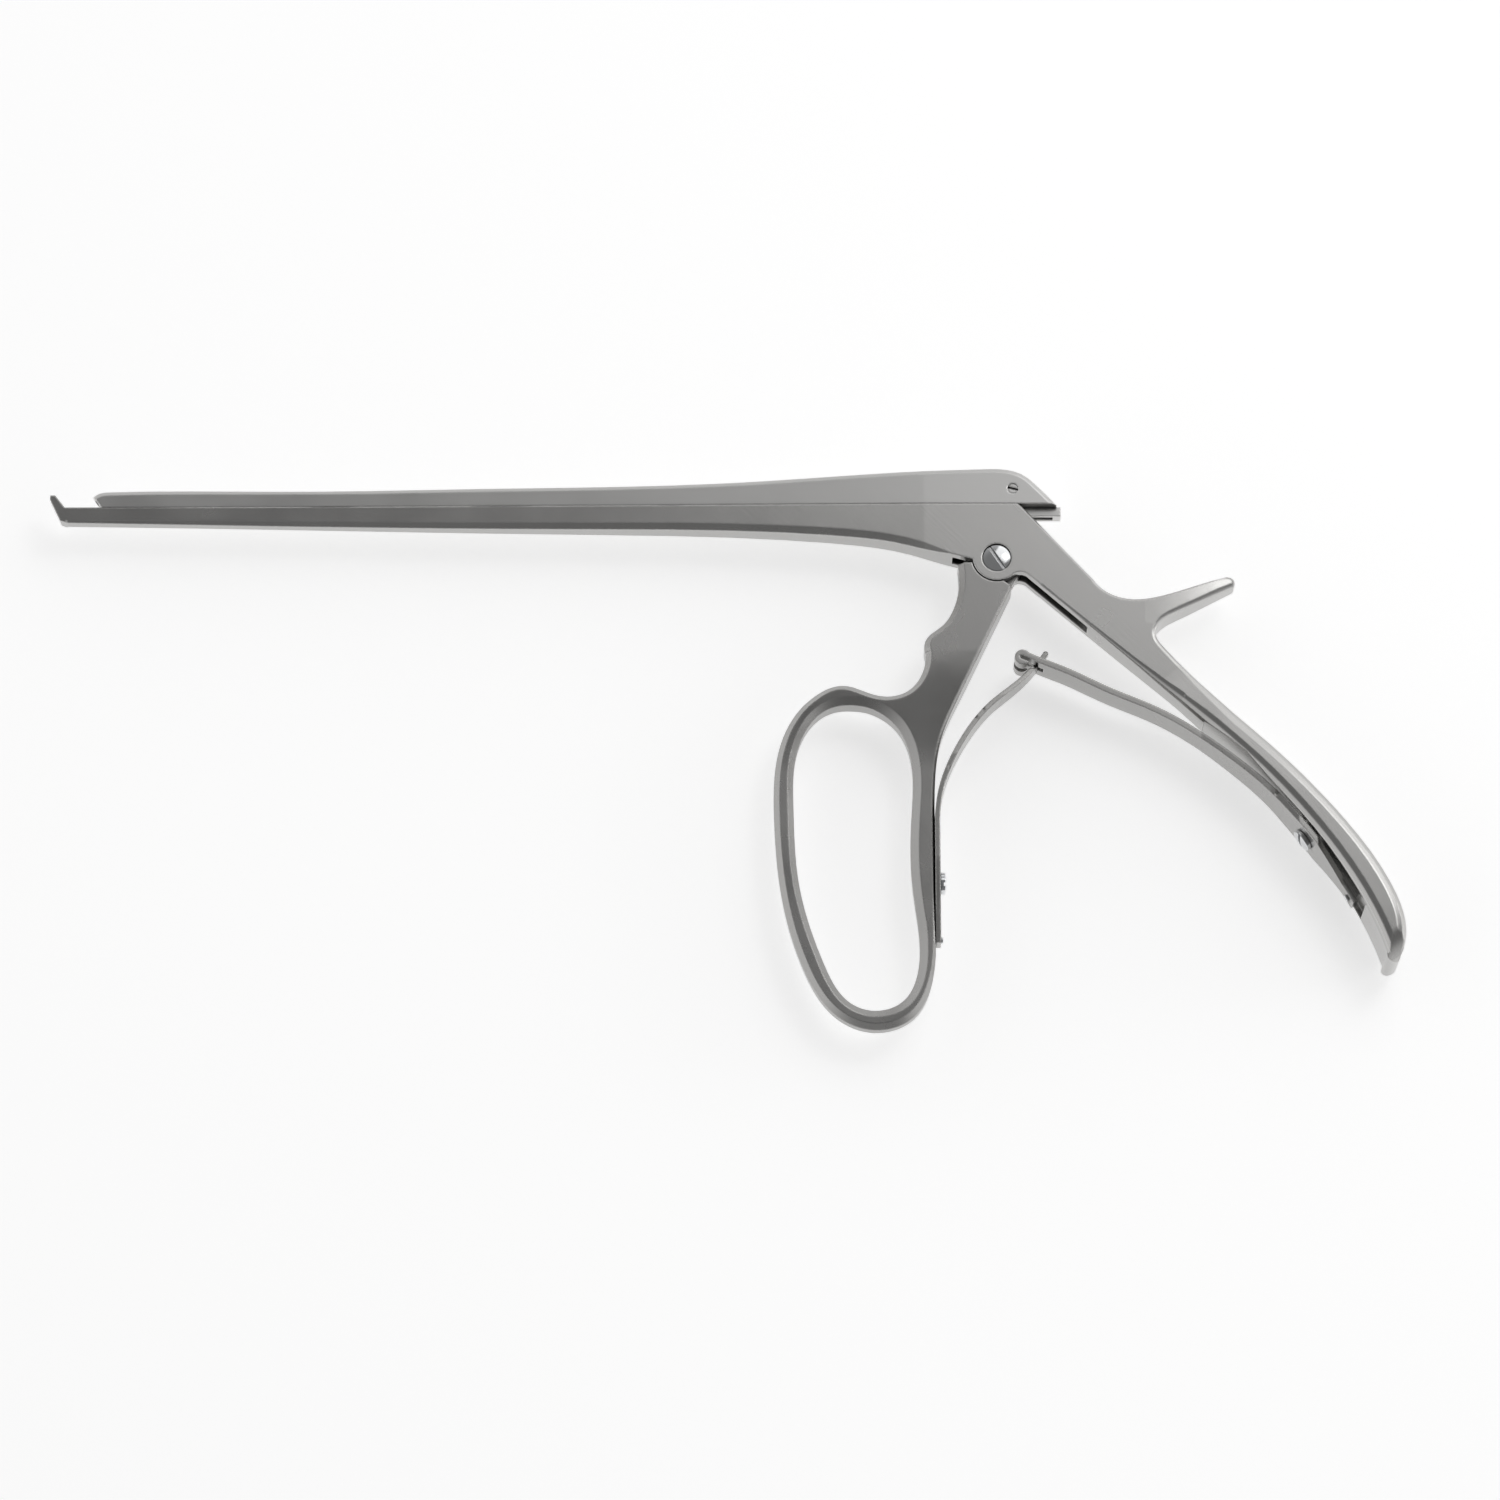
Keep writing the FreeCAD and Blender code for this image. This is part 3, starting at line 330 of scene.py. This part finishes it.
def leaf_copy(name):
    """The CAD leaf as one closed mesh in its place, with the CAD node hidden."""
    mesh = NODES[name].data.copy()
    work = bmesh.new()
    work.from_mesh(mesh)
    bmesh.ops.remove_doubles(work, verts=work.verts, dist=1e-6)
    work.to_mesh(mesh)
    work.free()
    leaf = bpy.data.objects.new(name + "_bending", mesh)
    bpy.context.scene.collection.objects.link(leaf)
    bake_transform(leaf)
    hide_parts(name)
    return leaf


class RONGEUR_OT_leaves(bpy.types.Operator):
    """Copy the two leaf springs as closed meshes and hide their CAD nodes"""

    bl_idname = "rongeur.leaves"
    bl_label = "Bending leaf springs"

    def execute(self, context):
        for name, (fixed, moving, start, end) in BENDS.items():
            LEAVES[name] = leaf_copy(name)
        return {"FINISHED"}


class RONGEUR_OT_steel(bpy.types.Operator):
    """Give every piece of the rongeur its steel"""

    bl_idname = "rongeur.steel"
    bl_label = "Steel finishes"

    def execute(self, context):
        look = context.scene.rongeur_steel
        GROUPS["wear"] = grain_and_light_group()
        made = {name: steel(look, name, *values) for name, values in STEELS.items()}
        for name, finish in FINISHES.items():
            piece = LEAVES.get(name, NODES[name])
            piece.data.materials.clear()
            piece.data.materials.append(made[finish])
        return {"FINISHED"}


def floor_mesh(half, level):
    """A flat square sheet of two by two faces: x and y run from -half to half, and z is the level."""
    line = np.linspace(-half, half, 3)
    x, y = np.meshgrid(line, line)
    points = np.stack([x.ravel(), y.ravel(), np.full(x.size, level)], axis=1)
    row, column = np.meshgrid(np.arange(2), np.arange(2), indexing="ij")
    first = (row * 3 + column).ravel()
    faces = np.stack([first, first + 1, first + 4, first + 3], axis=1)
    mesh = bpy.data.meshes.new("Table")
    mesh.from_pydata(points.tolist(), [], faces.tolist())
    return mesh


class RONGEUR_OT_stage(bpy.types.Operator):
    """Build the white table, the lamps and the camera"""

    bl_idname = "rongeur.stage"
    bl_label = "Table, light and camera"

    def execute(self, context):
        look = context.scene.rongeur_stage
        low = BEFORE[0][2]
        table = bpy.data.objects.new("Table", floor_mesh(TABLE_HALF, low - look.floor_gap))
        context.scene.collection.objects.link(table)
        table.data.materials.append(white_floor(look.table_glow))
        light_up(context, look)
        place_camera(context, look)
        return {"FINISHED"}


def white_floor(glow):
    """Matt white table. What the camera, mirrors and glass see of it glows a little, so it looks white and
    still takes the object's shadow."""
    material = bpy.data.materials.new("White table")
    material.use_nodes = True
    tree = material.node_tree
    shader = tree.nodes["Principled BSDF"]
    shader.inputs["Base Color"].default_value = (0.85, 0.85, 0.85, 1)
    shader.inputs["Roughness"].default_value = 0.9
    shader.inputs["Specular IOR Level"].default_value = 0.2
    shader.inputs["Emission Color"].default_value = (1, 1, 1, 1)
    seen = seen_rays(tree)
    level = node(tree, "ShaderNodeMath", (-150, -200), operation="MULTIPLY")
    level.inputs[1].default_value = glow
    tree.links.new(seen.outputs["Value"], level.inputs[0])
    tree.links.new(level.outputs["Value"], shader.inputs["Emission Strength"])
    return material


def seen_rays(tree):
    """Node that gives 1 for rays that show the background, straight or in metal and glass, and else 0."""
    ray = node(tree, "ShaderNodeLightPath", (-800, -200))
    total = ray.outputs["Is Camera Ray"]
    for step, name in enumerate(("Is Glossy Ray", "Is Transmission Ray")):
        either = node(tree, "ShaderNodeMath", (-600 + 200 * step, -200), operation="MAXIMUM")
        tree.links.new(total, either.inputs[0])
        tree.links.new(ray.outputs[name], either.inputs[1])
        total = either.outputs["Value"]
    return either


def lamp(context, name, place, aim, size, power):
    """A rectangular area lamp at a place, turned to its aim."""
    data = bpy.data.lights.new(name, "AREA")
    data.shape = "RECTANGLE"
    data.size, data.size_y = size
    data.energy = power
    made = bpy.data.objects.new(name, data)
    context.scene.collection.objects.link(made)
    made.location = place
    made.rotation_euler = (aim - place).to_track_quat("-Z", "Y").to_euler()


def studio_world(look):
    """White walls and a greyer ceiling: brightness falls with height, and towards the viewer's side.

    The camera itself sees plain white.
    """
    world = bpy.data.worlds.new("Studio")
    world.use_nodes = True
    tree = world.node_tree
    back = tree.nodes["Background"]
    way = node(tree, "ShaderNodeTexCoord", (-1200, 0))
    part = node(tree, "ShaderNodeSeparateXYZ", (-1000, 0))
    height = fall(tree, (-800, 200), 0.1, 0.9, look.horizon, look.horizon * look.ceiling)
    depth = fall(tree, (-800, -200), -0.95, -0.35, look.viewer_side, 1.0)
    level = node(tree, "ShaderNodeMath", (-500, 0), operation="MULTIPLY")
    ray = node(tree, "ShaderNodeLightPath", (-500, 300))
    shown = node(tree, "ShaderNodeMix", (-250, 0), data_type="FLOAT")
    shown.inputs["B"].default_value = 1.0
    link = tree.links.new
    link(way.outputs["Generated"], part.inputs["Vector"])
    link(part.outputs["Z"], height.inputs["Value"])
    link(part.outputs["Y"], depth.inputs["Value"])
    link(height.outputs["Result"], level.inputs[0])
    link(depth.outputs["Result"], level.inputs[1])
    link(ray.outputs["Is Camera Ray"], shown.inputs["Factor"])
    link(level.outputs["Value"], shown.inputs["A"])
    link(shown.outputs["Result"], back.inputs["Strength"])
    back.inputs["Color"].default_value = (1, 1, 1, 1)
    return world


def fall(tree, place, start, end, at_start, at_end):
    """Node that changes a value smoothly from one level to another between two readings."""
    return node(tree, "ShaderNodeMapRange", place, interpolation_type="SMOOTHSTEP", **{
        "From Min": start, "From Max": end, "To Min": at_start, "To Max": at_end})


def light_up(context, look):
    """A softbox behind and above the object, and a low strip and a panel on its right, in a white studio."""
    middle = hinge_middle()
    for name, place, size, power in LAMPS:
        lamp(context, name, middle + Vector(place), middle, size, getattr(look, power))
    context.scene.world = studio_world(look)
    context.scene.view_settings.view_transform = "Standard"


def place_camera(context, look):
    """Camera on a line that leans by the tilt from the side face's normal, towards the handles."""
    data = bpy.data.cameras.new("Camera")
    data.sensor_width = 36.0
    data.lens = data.sensor_width * look.distance / look.field
    data.clip_start, data.clip_end = 0.05, 20.0
    camera = bpy.data.objects.new("Camera", data)
    context.scene.collection.objects.link(camera)
    aim = Vector((-look.aim_left, -look.aim_down, MIDDLE))
    away = Vector((0, -math.sin(look.tilt), math.cos(look.tilt)))
    camera.location = aim + away * look.distance
    camera.rotation_euler = away.to_track_quat("Z", "Y").to_euler()
    context.scene.camera = camera


class RONGEUR_PT_panel(bpy.types.Panel):
    """Settings of the rongeur's steel and stage, and the buttons that build them"""

    bl_idname = "RONGEUR_PT_panel"
    bl_label = "Bone rongeur"
    bl_space_type = "VIEW_3D"
    bl_region_type = "UI"
    bl_category = "Rongeur"

    def draw(self, context):
        for group in (context.scene.rongeur_steel, context.scene.rongeur_stage):
            for name in group.bl_rna.properties.keys():
                if name not in ("rna_type", "name"):
                    self.layout.prop(group, name)
        for name in ("rongeur.leaves", "rongeur.steel", "rongeur.stage"):
            self.layout.operator(name)


CLASSES = (RongeurSteel, RongeurStage, RONGEUR_OT_leaves, RONGEUR_OT_steel,
           RONGEUR_OT_stage, RONGEUR_PT_panel)


def register():
    for item in CLASSES:
        bpy.utils.register_class(item)
    bpy.types.Scene.rongeur_steel = bpy.props.PointerProperty(type=RongeurSteel)
    bpy.types.Scene.rongeur_stage = bpy.props.PointerProperty(type=RongeurStage)


def unregister():
    del bpy.types.Scene.rongeur_stage
    del bpy.types.Scene.rongeur_steel
    for item in reversed(CLASSES):
        bpy.utils.unregister_class(item)


def main():
    register()
    bpy.ops.rongeur.leaves()
    bpy.ops.rongeur.steel()
    bpy.ops.rongeur.stage()


if __name__ == "__main__":
    main()
